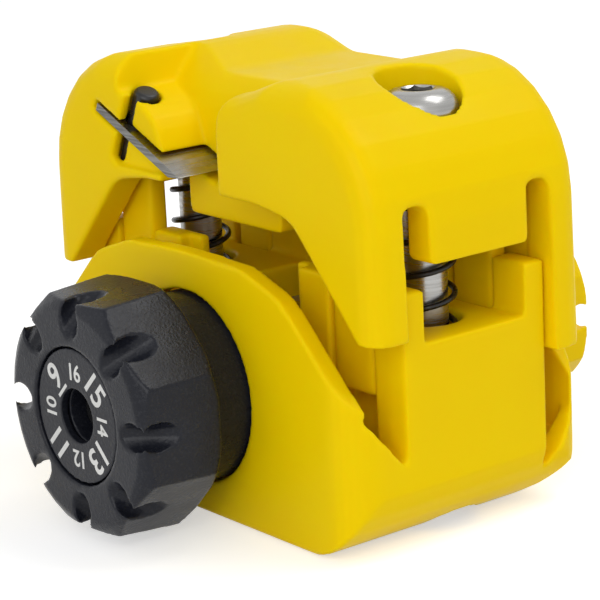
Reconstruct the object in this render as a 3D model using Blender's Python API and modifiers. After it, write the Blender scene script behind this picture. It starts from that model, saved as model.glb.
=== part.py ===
"""Spring-loaded cable stripper with a slanted blade and an eight-step setting knob.

The lower body carries two guide screws, an eight-sided support drum on a cross shaft
and a knob on either side.  The upper body slides down on the guide screws against two
springs and carries the blade and the pressure jaw.  X runs along the tool, Y along the
shaft with the numbered knob on the -Y side, and Z = 0 is the flat underside.
"""

import math

import bmesh
import bpy
from mathutils import Matrix, Vector

MM = 0.001
GAP = 0.3 * MM
OVER = 10.0 * MM
OFFSET = 0.1 * MM
ROUND_STEPS = 28
ARC_STEP = math.radians(13.0)

# Overall sizes of the two bodies
HALF_LENGTH = 34.2 * MM
BODY_HALF_DEPTH = 21.0 * MM
UPPER_HALF_DEPTH = 17.9 * MM
UPPER_HALF_LENGTH = 35.1 * MM
LOBE_TOP = 60.0 * MM
SADDLE_TOP = 57.2 * MM
LOBE_RADIUS = 17.5 * MM
SADDLE_HALF_WIDTH = 8.0 * MM
SADDLE_FLANK = 8.0 * MM
END_DRAFT = 0.8 * MM
LEG_TIP = 28.6 * MM
REAR_DROP = 6.3 * MM

# Lower body
END_ROUNDING = 11.0 * MM
FRONT_CORNER = 5.0 * MM
REAR_CORNER = 7.5 * MM
REAR_ROUNDING = 14.7 * MM
FRONT_ROUNDING = 1.5 * MM
CREST_HEIGHT = 36.2 * MM
CREST_HALF_WIDTH = 12.5 * MM
CREST_BOW = 0.4 * MM
SHOULDER = (20.5 * MM, 33.1 * MM)
SKIRT_HEIGHT = 19.9 * MM
REAR_WALL_DROP = 5.0 * MM
WALL_INSIDE = 18.3 * MM
BLOCK_HALF_DEPTH = 12.1 * MM
POCKET_FLOOR = 13.0 * MM
POCKET_END = 30.5 * MM
MOUTH_RISE = (11.6 * MM, 19.0 * MM)
STEP_HALF_LENGTH = 13.0 * MM
REAR_POCKET_FLOOR = 8.7 * MM
TOWER_TOP = 34.5 * MM
TOWER_HALF_DEPTH = 10.1 * MM
CHANNEL_HALF_WIDTH = 10.5 * MM
CHANNEL_FLOOR = 6.8 * MM
SHELF_HEIGHT = 27.5 * MM
SHELF_HALF_DEPTH = 8.6 * MM
SHELF_INSIDE = 19.0 * MM
POST_INSIDE = 28.0 * MM
KEYWAY_FLOOR = 9.0 * MM
KEYWAY_INSIDE = 8.4 * MM

# Upper body
ROOF_UNDERSIDE = 46.0 * MM
LEG_INSIDE = 12.7 * MM
END_WALL_INSIDE = 31.0 * MM
ARCH_TOP = 43.7 * MM
ARCH_HALF_WIDTH = 12.0 * MM
ARCH_ELBOW = (19.3 * MM, 42.7 * MM)
LEG_TIP_WIDTH = 3.9 * MM
END_SLOT_TOP = 45.4 * MM
END_TAB_BOTTOM = 37.7 * MM
KEY_BOTTOM = 19.6 * MM
EDGE_ROUNDING = 3.0 * MM
CROWN_ROUNDING = 5.0 * MM

# Guide screws, springs and nuts
PIN_X = 24.5 * MM
PIN_RADIUS = 3.0 * MM
PIN_HOLE_RADIUS = 3.4 * MM
HEAD_RADIUS = 5.2 * MM
HEAD_HEIGHT = 3.2 * MM
HEAD_SEAT = 54.1 * MM
HEAD_RECESS_RADIUS = 5.6 * MM
HEX_KEY = 4.0 * MM
SPRING_RADIUS = 3.9 * MM
SPRING_WIRE = 0.8 * MM
SPRING_TURNS = 6.5
SPRING_POCKET_RADIUS = 4.8 * MM
SPRING_BOTTOM = 23.5 * MM
SPRING_TOP = 48.0 * MM
NUT_RECESS_RADIUS = 5.6 * MM
NUT_RECESS_DEPTH = 8.5 * MM
NUT_ACROSS_FLATS = 8.0 * MM
NUT_HEIGHT = 4.0 * MM
THREAD_RADIUS = 2.4 * MM

# Knobs, hubs, shaft and support drum
AXIS_HEIGHT = 17.6 * MM
KNOB_ACROSS_FLATS = 32.0 * MM
REAR_ACROSS_FLATS = 30.6 * MM
KNOB_FRONT = 39.4 * MM
KNOB_TAPER = 0.05
KNOB_REAR = 27.6 * MM
KNOB_FACE_RADIUS = 13.6 * MM
KNOB_DOME_DEPTH = 4.6 * MM
NOTCH_RADIUS = 1.9 * MM
NOTCH_INNER = (11.6 * MM, 1.3 * MM)
NOTCH_OUTER = (17.2 * MM, -4.9 * MM)
DIAL_RADIUS = 9.0 * MM
DIAL_DEPTH = 1.4 * MM
DIAL_RECESS = 0.3 * MM
KNOB_HOLE_RADIUS = 3.65 * MM
KNOB_WEB = (30.4 * MM, 33.4 * MM)
HUB_RADIUS = 13.0 * MM
REAR_HUB_RADIUS = 11.0 * MM
HUB_INNER_FACE = 18.2 * MM
SHAFT_RADIUS = 2.6 * MM
SHAFT_END = 30.0 * MM
KNOB_SCREW_RADIUS = 1.4 * MM
DRUM_HALF_LENGTH = 9.6 * MM
DRUM_FIRST_FLAT = 5.9 * MM
DRUM_STEP = 0.5 * MM
POSITIONS = 8
INDEX_RADIUS = 5.2 * MM
INDEX_ROOM = 1.0 * MM
INDEX_GROOVE = 0.5 * MM
INDEX_Y = (-17.2 * MM, -12.6 * MM)
DETENT_Y = -15.1 * MM
DETENT_HOLE_RADIUS = 2.0 * MM
DETENT_BALL_RADIUS = 1.6 * MM

# Blade, its clamp pin and the openings around them, in the plane across the shaft
BLADE_BACK = (-22.9 * MM, 52.4 * MM)
BLADE_EDGE = (-4.6 * MM, 44.3 * MM)
BLADE_THICKNESS = 1.2 * MM
BLADE_Y = (-17.7 * MM, -8.6 * MM)
BLADE_GRIND = 2.2 * MM
CLAMP_RADIUS = 1.8 * MM
CLAMP_AT = 6.1 * MM
CLAMP_Y = -14.4 * MM
CLAMP_REACH = (-6.0 * MM, 5.5 * MM)
CLAMP_GAP = 1.5 * MM
CLAMP_GAP_END = -5.0 * MM
WEDGE_LEFT = 6.9 * MM
WEDGE_FRONT = -16.9 * MM
WEDGE_BOTTOM = 44.7 * MM
WEDGE_SIDE = (
    (-17.9, 60.0), (-17.4, 55.3), (-14.4, 54.0), (-12.7, 53.2),
    (-11.1, 52.0), (-10.1, 50.4), (-9.4, 48.5), (-8.5, 46.0),
)
CHUTE_RIGHT = 4.5 * MM
CHUTE_BACK = -9.4 * MM
CHUTE_SHOULDER = 54.0 * MM
CHUTE_BRINK = (-3.0 * MM, 60.5 * MM)
NOSE_ROUNDING = 7.0 * MM
NOSE_CORNER = 56.5 * MM
NOSE_RISE = 0.43

# Pressure jaw under the roof
JAW_HALF_WIDTH = 10.1 * MM
JAW_HALF_DEPTH = 12.0 * MM
JAW_BOTTOM = 38.3 * MM
JAW_ROUNDING = 1.0 * MM


def clear_scene():
    """Empty the file and make one collection for the parts and one for the cutters."""
    for obj in list(bpy.data.objects):
        bpy.data.objects.remove(obj, do_unlink=True)
    for name in ("cable_stripper", "cutters"):
        collection = bpy.data.collections.new(name)
        bpy.context.scene.collection.children.link(collection)


def material(name, color, roughness, metallic=0.0):
    """Return the named material, made on first use."""
    found = bpy.data.materials.get(name)
    if found:
        return found
    made = bpy.data.materials.new(name)
    made.use_nodes = True
    shader = made.node_tree.nodes["Principled BSDF"]
    shader.inputs["Base Color"].default_value = (*color, 1.0)
    shader.inputs["Roughness"].default_value = roughness
    shader.inputs["Metallic"].default_value = metallic
    return made


def yellow_plastic():
    return material("yellow_plastic", (0.78, 0.53, 0.0), 0.38)


def black_plastic():
    return material("black_plastic", (0.02, 0.02, 0.022), 0.45)


def bright_steel():
    return material("bright_steel", (0.62, 0.61, 0.59), 0.25, 1.0)


def black_steel():
    return material("black_steel", (0.03, 0.03, 0.032), 0.4, 0.8)


def brass():
    return material("brass", (0.7, 0.5, 0.2), 0.35, 1.0)


def add_object(name, data, finish=None):
    """Link an object as a part if it has a finish, and otherwise as a hidden cutter."""
    obj = bpy.data.objects.new(name, data)
    if finish:
        bpy.data.collections["cable_stripper"].objects.link(obj)
        data.materials.append(finish)
    else:
        bpy.data.collections["cutters"].objects.link(obj)
        obj.hide_render = True
        obj.display_type = "WIRE"
    return obj


def mesh_from(bm, name, finish=None):
    """Weld a bmesh, turn its faces outward and make an object of it."""
    bmesh.ops.remove_doubles(bm, verts=bm.verts, dist=1e-6)
    bmesh.ops.recalc_face_normals(bm, faces=bm.faces)
    mesh = bpy.data.meshes.new(name)
    bm.to_mesh(mesh)
    bm.free()
    return add_object(name, mesh, finish)


def evaluated_copy(obj, name, finish=None):
    """Replace a curve or a modified object by a plain welded mesh in the same place."""
    bpy.context.view_layer.update()
    evaluated = obj.evaluated_get(bpy.context.evaluated_depsgraph_get())
    mesh = bpy.data.meshes.new_from_object(evaluated)
    bm = bmesh.new()
    bm.from_mesh(mesh)
    bpy.data.meshes.remove(mesh)
    placement = obj.matrix_world.copy()
    bpy.data.objects.remove(obj, do_unlink=True)
    made = mesh_from(bm, name, finish)
    made.matrix_world = placement
    return made


def fillet(outline):
    """Round each corner (x, y, radius) of a closed outline with an arc."""
    points = []
    count = len(outline)
    for i, (x, y, radius) in enumerate(outline):
        corner = Vector((x, y))
        before = Vector(outline[i - 1][:2]) - corner
        after = Vector(outline[(i + 1) % count][:2]) - corner
        if radius <= 0.0:
            points.append(corner)
            continue
        half = before.angle(after) / 2.0
        reach = radius / math.tan(half)
        bisector = (before.normalized() + after.normalized()).normalized()
        centre = corner + bisector * (radius / math.sin(half))
        start = corner + before.normalized() * reach - centre
        turn = start.angle_signed(corner + after.normalized() * reach - centre)
        steps = max(2, round(abs(turn) / ARC_STEP))
        for step in range(steps + 1):
            angle = -turn * step / steps
            points.append(centre + Matrix.Rotation(angle, 2) @ start)
    return points


def prism(name, outline, low, high, plane="XZ", finish=None, rounding=0.0):
    """Extrude a rounded outline, drawn in the named plane, along its third axis."""
    curve = bpy.data.curves.new(name, "CURVE")
    curve.dimensions = "2D"
    curve.fill_mode = "BOTH"
    curve.extrude = (high - low) / 2.0 - rounding
    curve.bevel_depth = rounding
    curve.bevel_resolution = 2
    curve.offset = -rounding
    points = fillet(outline)
    spline = curve.splines.new("POLY")
    spline.points.add(len(points) - 1)
    for target, point in zip(spline.points, points):
        target.co = (point.x, point.y, 0.0, 1.0)
    spline.use_cyclic_u = True
    obj = add_object(name + "_outline", curve)
    middle = (low + high) / 2.0
    if plane == "XZ":
        obj.matrix_world = Matrix.Translation((0, middle, 0)) @ Matrix.Rotation(math.pi / 2, 4, "X")
    elif plane == "YZ":
        turn = Matrix(((0, 0, 1, 0), (1, 0, 0, 0), (0, 1, 0, 0), (0, 0, 0, 1)))
        obj.matrix_world = Matrix.Translation((middle, 0, 0)) @ turn
    else:
        obj.matrix_world = Matrix.Translation((0, 0, middle))
    return evaluated_copy(obj, name, finish)


def box(name, low, high, finish=None):
    """Make a box between two corners."""
    bm = bmesh.new()
    bmesh.ops.create_cube(bm, size=1.0)
    low = Vector(low)
    high = Vector(high)
    bmesh.ops.scale(bm, vec=high - low, verts=bm.verts)
    bmesh.ops.translate(bm, vec=(low + high) / 2.0, verts=bm.verts)
    return mesh_from(bm, name, finish)


def turned(name, profile, finish=None, steps=ROUND_STEPS):
    """Turn a profile of (radius, height) points, listed from the top down, about Z."""
    mesh = bpy.data.meshes.new(name + "_profile")
    vertices = [(radius, 0.0, height) for radius, height in profile]
    edges = [(i, i + 1) for i in range(len(profile) - 1)]
    mesh.from_pydata(vertices, edges, [])
    obj = add_object(name + "_profile", mesh)
    screw = obj.modifiers.new("turn", "SCREW")
    screw.steps = steps
    screw.render_steps = steps
    screw.use_merge_vertices = True
    screw.merge_threshold = 1e-6
    return evaluated_copy(obj, name, finish)


def rod(name, radius, low, high, finish=None, steps=ROUND_STEPS):
    """Make a plain cylinder along Z."""
    return turned(name, [(0, high), (radius, high), (radius, low), (0, low)], finish, steps)


def tube(name, inner, outer, low, high, finish=None, steps=ROUND_STEPS):
    """Make a ring along Z."""
    ring = [(inner, high), (outer, high), (outer, low), (inner, low), (inner, high)]
    return turned(name, ring, finish, steps)


def coil(name, radius, wire, bottom, top, turns, finish, points_per_turn=10):
    """Wind a compression spring along Z, with a level turn at either end."""
    curve = bpy.data.curves.new(name, "CURVE")
    curve.dimensions = "3D"
    curve.bevel_depth = wire / 2.0
    curve.bevel_resolution = 2
    curve.use_fill_caps = True
    count = round(turns * points_per_turn) + 1
    spline = curve.splines.new("POLY")
    spline.points.add(count - 1)
    level = bottom + wire / 2.0
    rise = top - bottom - wire
    for i, target in enumerate(spline.points):
        angle = 2.0 * math.pi * i / points_per_turn
        share = min(max((i - points_per_turn) / (count - 1 - 2 * points_per_turn), 0.0), 1.0)
        lift = 1.15 * wire
        end_rise = lift * min(i / points_per_turn, 1.0)
        end_fall = lift * min((count - 1 - i) / points_per_turn, 1.0)
        height = level + end_rise + share * (rise - 2.0 * lift) + (lift - end_fall)
        target.co = (radius * math.cos(angle), radius * math.sin(angle), height, 1.0)
    return evaluated_copy(add_object(name + "_path", curve), name, finish)


def combine(target, tool, operation):
    """Cut, join or trim a part with another solid, through a Boolean modifier."""
    modifier = target.modifiers.new(tool.name, "BOOLEAN")
    modifier.operation = operation
    modifier.object = tool
    modifier.solver = "EXACT"


def cut(target, *tools):
    for tool in tools:
        combine(target, tool, "DIFFERENCE")


def soften(obj, width, segments=2, angle=35.0):
    """Round the sharp edges of a part."""
    bevel = obj.modifiers.new("rounding", "BEVEL")
    bevel.width = width
    bevel.segments = segments
    bevel.limit_method = "ANGLE"
    bevel.angle_limit = math.radians(angle)


def smooth(obj, angle=30.0):
    """Shade the round faces of a part smooth and keep its edges sharp."""
    obj.data.shade_smooth()
    obj.data.set_sharp_from_angle(angle=math.radians(angle))


def axis_empty(name, placement):
    """Make an empty that carries the pieces turning or sliding on one axis."""
    empty = bpy.data.objects.new(name, None)
    bpy.data.collections["cable_stripper"].objects.link(empty)
    empty.empty_display_size = 5.0 * MM
    empty.matrix_world = placement
    return empty


def carry(parent, *children):
    """Parent pieces that are modelled along their parent's own axis."""
    for child in children:
        child.parent = parent


def keep_place(parent, *children):
    """Parent pieces that are modelled in the tool's frame without moving them."""
    bpy.context.view_layer.update()
    for child in children:
        child.parent = parent
        child.matrix_parent_inverse = parent.matrix_world.inverted()


def along_shaft(side):
    """Placement whose local Z runs out of the tool along the shaft, on the -Y or +Y side."""
    return Matrix.Translation((0, 0, AXIS_HEIGHT)) @ Matrix.Rotation(-side * math.pi / 2, 4, "X")


def mirrored(points):
    """Complete a right-hand half outline, listed from bottom to top, with its mirror image."""
    return points + [(-x, y, radius) for x, y, radius in reversed(points)]


def lower_body():
    """Base with a humped wall at front and back, two towers and the leg pockets between."""
    end = HALF_LENGTH
    wide = end + GAP
    deep = BODY_HALF_DEPTH + GAP
    side = mirrored([(wide, 0, END_ROUNDING), (wide, CREST_HEIGHT, 0)])
    body = prism("lower_body", side, -deep, deep, finish=yellow_plastic())
    plan = [
        (-end, -BODY_HALF_DEPTH, FRONT_CORNER),
        (end, -BODY_HALF_DEPTH, FRONT_CORNER),
        (end, BODY_HALF_DEPTH, REAR_CORNER),
        (-end, BODY_HALF_DEPTH, REAR_CORNER),
    ]
    combine(body, prism("plan_shape", plan, -OVER, CREST_HEIGHT + OVER, "XY"), "INTERSECT")
    end_view = [
        (-deep, 0, FRONT_ROUNDING),
        (deep, 0, REAR_ROUNDING),
        (deep, CREST_HEIGHT + GAP, 0),
        (-deep, CREST_HEIGHT + GAP, 0),
    ]
    combine(body, prism("end_view", end_view, -end - OVER, end + OVER, "YZ"), "INTERSECT")

    # The humped walls, and the pockets that the legs of the upper body sink into
    sky = CREST_HEIGHT + OVER
    fall = OVER * (SHOULDER[1] - SKIRT_HEIGHT) / (end - SHOULDER[0])
    for side_name, sign, drop, lower, floor in (
        ("front", -1, 0.0, 0.0, POCKET_FLOOR),
        ("rear", 1, REAR_WALL_DROP, REAR_DROP, REAR_POCKET_FLOOR),
    ):
        hump = [
            (end + OVER, SKIRT_HEIGHT - drop - fall, 0),
            (end + OVER, sky, 0),
            (-end - OVER, sky, 0),
            (-end - OVER, SKIRT_HEIGHT - drop - fall, 0),
            (-SHOULDER[0], SHOULDER[1] - drop, 8 * MM),
            (-CREST_HALF_WIDTH, CREST_HEIGHT - drop - CREST_BOW, 9 * MM),
            (0, CREST_HEIGHT - drop, 30 * MM),
            (CREST_HALF_WIDTH, CREST_HEIGHT - drop - CREST_BOW, 9 * MM),
            (SHOULDER[0], SHOULDER[1] - drop, 8 * MM),
        ]
        near, far = sorted((sign * BLOCK_HALF_DEPTH, sign * (BODY_HALF_DEPTH + OVER)))
        cut(body, prism(side_name + "_hump", hump, near, far))
        near, far = sorted((sign * (BLOCK_HALF_DEPTH - OFFSET), sign * WALL_INSIDE))
        cut(body, box(side_name + "_pocket", (-POCKET_END, near, floor), (POCKET_END, far, sky)))
        mouth = [
            (sign * (BLOCK_HALF_DEPTH - OFFSET / 2), MOUTH_RISE[0] - lower, 0),
            (sign * (WALL_INSIDE + OFFSET / 2), MOUTH_RISE[1] - lower, 0),
            (sign * (WALL_INSIDE + OFFSET / 2), sky + OVER, 0),
            (sign * (BLOCK_HALF_DEPTH - OFFSET / 2), sky + OVER, 0),
        ]
        for end_name, turn in (("left", -1), ("right", 1)):
            near, far = sorted((turn * (POCKET_END - GAP * 3), turn * (end + OVER)))
            cut(body, prism(side_name + "_" + end_name + "_mouth", mouth, near, far, "YZ"))
        near, far = sorted((sign * TOWER_HALF_DEPTH, sign * (BLOCK_HALF_DEPTH + OVER / 20)))
        low = (-STEP_HALF_LENGTH, near, POCKET_FLOOR + GAP)
        cut(body, box(side_name + "_step", low, (STEP_HALF_LENGTH, far, sky)))

    # Block top, cable channel and the shelves that the springs stand on
    deep = BLOCK_HALF_DEPTH + OVER / 20
    cut(body, box("block_top", (-end - OVER, -deep, TOWER_TOP), (end + OVER, deep, sky)))
    width = CHANNEL_HALF_WIDTH
    cut(body, box("channel", (-width, -deep, CHANNEL_FLOOR), (width, deep, sky)))
    low = (-end - OVER, -SHELF_HALF_DEPTH, SHELF_HEIGHT)
    cut(body, box("shelf", low, (end + OVER, SHELF_HALF_DEPTH, sky)))
    for side_name, sign in (("left", -1), ("right", 1)):
        near, far = sorted((sign * (SHELF_INSIDE + GAP), sign * POST_INSIDE))
        for end_name, turn in (("front", -1), ("rear", 1)):
            inner, outer = sorted((turn * KEYWAY_INSIDE, turn * (BLOCK_HALF_DEPTH + OVER / 10)))
            name = side_name + "_" + end_name + "_keyway"
            cut(body, box(name, (near, inner, KEYWAY_FLOOR), (far, outer, sky)))
        hole = turned(side_name + "_pin_hole", [
            (0, sky),
            (SPRING_POCKET_RADIUS, sky),
            (SPRING_POCKET_RADIUS, SPRING_BOTTOM),
            (PIN_HOLE_RADIUS, SPRING_BOTTOM),
            (PIN_HOLE_RADIUS, NUT_RECESS_DEPTH),
            (NUT_RECESS_RADIUS, NUT_RECESS_DEPTH),
            (NUT_RECESS_RADIUS, -OVER),
            (0, -OVER),
        ])
        hole.location.x = sign * PIN_X
        cut(body, hole)

    # Bearings of the two hubs, room for the index wheel and the detent's hole
    outside = BODY_HALF_DEPTH + OVER
    bearing = turned("bearings", [
        (0, outside),
        (REAR_HUB_RADIUS + GAP, outside),
        (REAR_HUB_RADIUS + GAP, WALL_INSIDE - GAP),
        (INDEX_RADIUS + INDEX_ROOM, WALL_INSIDE - GAP),
        (INDEX_RADIUS + INDEX_ROOM, GAP - WALL_INSIDE),
        (HUB_RADIUS + GAP, GAP - WALL_INSIDE),
        (HUB_RADIUS + GAP, -outside),
        (0, -outside),
    ], steps=42)
    bearing.matrix_world = along_shaft(1)
    detent = rod("detent_hole", DETENT_HOLE_RADIUS, -OVER, AXIS_HEIGHT - GAP, steps=18)
    detent.location.y = DETENT_Y
    cut(body, bearing, detent)
    smooth(body)
    return body


def upper_body():
    """Bridge with two finger lobes, legs at the corners, end tabs and guide keys inside."""
    end = UPPER_HALF_LENGTH
    lobe = LOBE_RADIUS
    ground = LEG_TIP - OVER * 2
    side = mirrored([
        (end + END_DRAFT * 1.6, ground, 0),
        (end, LOBE_TOP, lobe),
        (SADDLE_HALF_WIDTH + SADDLE_FLANK, LOBE_TOP, 9 * MM),
        (SADDLE_HALF_WIDTH, SADDLE_TOP, 7 * MM),
    ])
    deep = UPPER_HALF_DEPTH
    body = prism("upper_body", side, -deep, deep, finish=yellow_plastic(), rounding=EDGE_ROUNDING)

    # Cavity, arched opening over the humped walls, end slots and the window under each end tab
    crown = mirrored([
        (deep + GAP, ground - OVER * 2, 0),
        (deep + GAP, LOBE_TOP + GAP / 2, CROWN_ROUNDING + GAP),
    ])
    combine(body, prism("crown", crown, -end - OVER, end + OVER, "YZ"), "INTERSECT")
    low = (-end - OVER, -deep - OVER, ground - OVER)
    cut(body, box("below_front_legs", low, (end + OVER, 0, LEG_TIP)))
    low = (-end - OVER, -GAP, ground - OVER * 2)
    cut(body, box("below_rear_legs", low, (end + OVER, deep + OVER, LEG_TIP - REAR_DROP)))
    low = (-END_WALL_INSIDE, -LEG_INSIDE, ground)
    cut(body, box("cavity", low, (END_WALL_INSIDE, LEG_INSIDE, ROOF_UNDERSIDE)))
    tip = end + END_DRAFT - LEG_TIP_WIDTH
    slope = (ARCH_ELBOW[1] - LEG_TIP) / (tip - ARCH_ELBOW[0])
    for side_name, drop, near, far in (
        ("front", 0.0, -deep - OVER, -GAP),
        ("rear", REAR_DROP, GAP, deep + OVER),
    ):
        arch = mirrored([
            (tip + (LEG_TIP - ground) / slope, ground - drop, 0),
            (ARCH_ELBOW[0], ARCH_ELBOW[1] - drop, 6 * MM),
            (ARCH_HALF_WIDTH, ARCH_TOP - drop, 4 * MM),
        ])
        cut(body, prism(side_name + "_arch", arch, near, far))
    window = mirrored([
        (LEG_INSIDE - GAP, ground, 0),
        (LEG_INSIDE - GAP, END_SLOT_TOP, 1.4 * MM),
        (SHELF_HALF_DEPTH - GAP, END_SLOT_TOP, 1.4 * MM),
        (SHELF_HALF_DEPTH - GAP, END_TAB_BOTTOM, 0.8 * MM),
    ])
    for side_name, sign in (("left", -1), ("right", 1)):
        near, far = sorted((sign * (END_WALL_INSIDE - OVER / 10), sign * (end + OVER)))
        cut(body, prism(side_name + "_window", window, near, far, "YZ"))

    # Guide keys, screw seats and spring seats
    for side_name, sign in (("left", -1), ("right", 1)):
        near, far = sorted((sign * (SHELF_INSIDE + 2 * GAP), sign * (POST_INSIDE - GAP)))
        for end_name, turn in (("front", -1), ("rear", 1)):
            inner, outer = sorted((turn * (SHELF_HALF_DEPTH + GAP), turn * (BLOCK_HALF_DEPTH - GAP)))
            low = (near, inner, KEY_BOTTOM)
            key = box(side_name + "_" + end_name + "_key", low, (far, outer, ROOF_UNDERSIDE + GAP * 5))
            soften(key, 0.8 * MM)
            combine(body, key, "UNION")
        seat = turned(side_name + "_guide_hole", [
            (0, LOBE_TOP + OVER),
            (HEAD_RECESS_RADIUS, LOBE_TOP + OVER),
            (HEAD_RECESS_RADIUS, HEAD_SEAT),
            (PIN_HOLE_RADIUS, HEAD_SEAT),
            (PIN_HOLE_RADIUS, SPRING_TOP),
            (SPRING_POCKET_RADIUS, SPRING_TOP),
            (SPRING_POCKET_RADIUS, ROOF_UNDERSIDE - OVER),
            (0, ROOF_UNDERSIDE - OVER),
        ])
        seat.location.x = sign * PIN_X
        cut(body, seat)

    cut(body, *blade_openings())
    smooth(body)
    return body


def blade_frame():
    """Placement with local X down the blade towards its edge and local Z square to its face."""
    run = Vector((BLADE_EDGE[0] - BLADE_BACK[0], 0, BLADE_EDGE[1] - BLADE_BACK[1])).normalized()
    across = Vector((0, 1, 0))
    square = run.cross(across)
    turn = Matrix((run, across, square)).transposed().to_4x4()
    return Matrix.Translation((BLADE_BACK[0], 0, BLADE_BACK[1])) @ turn


def blade_length():
    return math.hypot(BLADE_EDGE[0] - BLADE_BACK[0], BLADE_EDGE[1] - BLADE_BACK[1])


def blade_openings():
    """Blade slot, clamp pin hole and its gap, front of the wedge, and chip chute beside it."""
    front = -UPPER_HALF_DEPTH - OVER
    sky = LOBE_TOP + OVER
    half = BLADE_THICKNESS / 2.0 + GAP
    left = WEDGE_LEFT - CLAMP_GAP / 2.0
    slot = box("blade_slot", (-GAP * 2, front, -half), (blade_length() + OVER, BLADE_Y[1] + GAP, half))
    hole = rod("clamp_hole", CLAMP_RADIUS + GAP, CLAMP_REACH[0] - GAP, OVER * 1.5, steps=24)
    hole.location = (CLAMP_AT, CLAMP_Y, 0)
    low = (WEDGE_LEFT - CLAMP_GAP, front, CLAMP_GAP_END)
    gap = box("clamp_gap", low, (WEDGE_LEFT, CLAMP_Y + GAP, OVER * 1.4))
    bpy.context.view_layer.update()
    for tool in (slot, hole, gap):
        tool.matrix_world = blade_frame() @ tool.matrix_world
    top = blade_frame() @ Vector((left, 0, OVER))
    foot = blade_frame() @ Vector((left, 0, CLAMP_GAP_END))
    face = prism("wedge_face", [
        (foot.x, WEDGE_BOTTOM, 0),
        (CHUTE_RIGHT - GAP, WEDGE_BOTTOM, 0),
        (CHUTE_RIGHT - GAP, top.z, 0),
        (top.x, top.z, 0),
    ], front - GAP, WEDGE_FRONT)
    section = [(x * MM, z * MM, 0) for x, z in WEDGE_SIDE]
    section += [
        (WEDGE_SIDE[-1][0] * MM, ARCH_TOP - OVER, 0),
        (CHUTE_RIGHT, ARCH_TOP - OVER, 0),
        (CHUTE_RIGHT, NOSE_CORNER, NOSE_ROUNDING),
        (CHUTE_RIGHT + OVER, NOSE_CORNER + OVER * NOSE_RISE, 0),
        (CHUTE_RIGHT + OVER, sky, 0),
        (WEDGE_SIDE[0][0] * MM, sky, 0),
    ]
    chute = prism("chip_chute", section, front - OVER, 0.0)
    slope = [
        (front - OVER * 2, ARCH_TOP - OVER * 2, 0),
        (CHUTE_BACK, ARCH_TOP - OVER * 2, 0),
        (CHUTE_BACK, CHUTE_SHOULDER, 8 * MM),
        (*CHUTE_BRINK, 0),
        (CHUTE_BRINK[0], sky + OVER, 0),
        (front - OVER * 2, sky + OVER, 0),
    ]
    combine(chute, prism("chute_slope", slope, -OVER * 3, OVER * 3, "YZ"), "INTERSECT")
    return [slot, hole, gap, face, chute]


def blade():
    """Flat blade with its ground edge at the low end and a hole for the clamp pin."""
    length = blade_length()
    half = BLADE_THICKNESS / 2.0
    section = [
        (0, -half, 0),
        (length - BLADE_GRIND, -half, 0),
        (length, half - OFFSET, 0),
        (length, half, 0),
        (0, half, 0),
    ]
    plate = prism("blade", section, *BLADE_Y, finish=bright_steel())
    plate.matrix_world = blade_frame() @ plate.matrix_world
    hole = rod("blade_hole", CLAMP_RADIUS + GAP, -OVER, OVER, steps=24)
    hole.matrix_world = blade_frame() @ Matrix.Translation((CLAMP_AT, CLAMP_Y, 0))
    cut(plate, hole)
    pin = turned("clamp_pin", [
        (0, CLAMP_REACH[1]),
        (CLAMP_RADIUS - 0.4 * MM, CLAMP_REACH[1]),
        (CLAMP_RADIUS, CLAMP_REACH[1] - 0.4 * MM),
        (CLAMP_RADIUS, CLAMP_REACH[0]),
        (0, CLAMP_REACH[0]),
    ], black_steel(), 24)
    pin.matrix_world = blade_frame() @ Matrix.Translation((CLAMP_AT, CLAMP_Y, 0))
    smooth(pin)
    return plate, pin


def pressure_jaw():
    """Block under the roof that presses the cable onto the support drum."""
    outline = mirrored([
        (JAW_HALF_WIDTH, JAW_BOTTOM, JAW_ROUNDING),
        (JAW_HALF_WIDTH, ROOF_UNDERSIDE - GAP, 0),
    ])
    jaw = prism("pressure_jaw", outline, -JAW_HALF_DEPTH, JAW_HALF_DEPTH, finish=yellow_plastic())
    below = BLADE_THICKNESS / 2.0 + GAP
    room = box("blade_room", (0, -OVER * 2, -below), (blade_length() + 1.2 * MM, BLADE_Y[1] + GAP, OVER))
    room.matrix_world = blade_frame()
    cut(jaw, room)
    return jaw


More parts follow.
